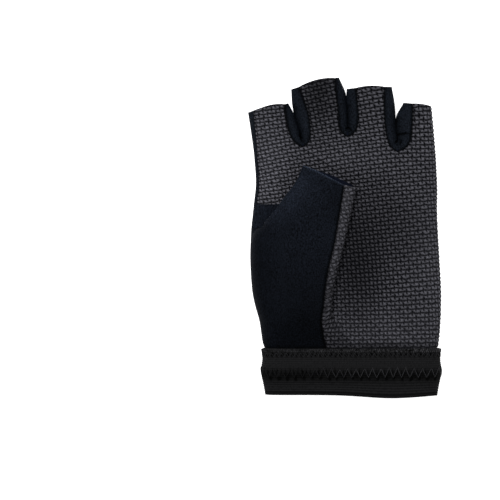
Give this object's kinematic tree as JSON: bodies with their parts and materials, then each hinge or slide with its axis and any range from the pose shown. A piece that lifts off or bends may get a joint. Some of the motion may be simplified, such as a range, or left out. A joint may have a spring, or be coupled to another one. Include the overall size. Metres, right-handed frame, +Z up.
{
  "type": "fingerless neoprene sport glove",
  "caption": "Fingerless sport glove with a basket-weave grip palm, plain neoprene back and thumb, and a ribbed elastic wrist band, lying palm up.",
  "frame": {"origin": "middle of the glove's footprint on the surface that it lies on", "axes": "+Z up, out of the palm; +Y along the glove, toward the fingertips; +X across the hand, toward the little finger, with the thumb at -X"},
  "size_m": [0.1029, 0.1701, 0.0185],
  "materials": {
    "grip_cloth": "dark grey basket-weave grip cloth, rubbery and dull",
    "plain_neoprene": "black neoprene faced with fine jersey knit",
    "thumb_neoprene": "blue-black neoprene faced with fine jersey knit",
    "ribbed_elastic": "black woven elastic with fine ribs and zigzag stitches"
  },
  "bodies": {
    "root": {"palm_panel": "grip_cloth", "back_panel": "plain_neoprene", "fourchette_index_middle": "plain_neoprene", "fourchette_middle_ring": "plain_neoprene", "fourchette_ring_little": "plain_neoprene", "thumb_panel": "thumb_neoprene", "thumb_web": "thumb_neoprene", "wrist_band": "ribbed_elastic"}
  },
  "joints": []
}
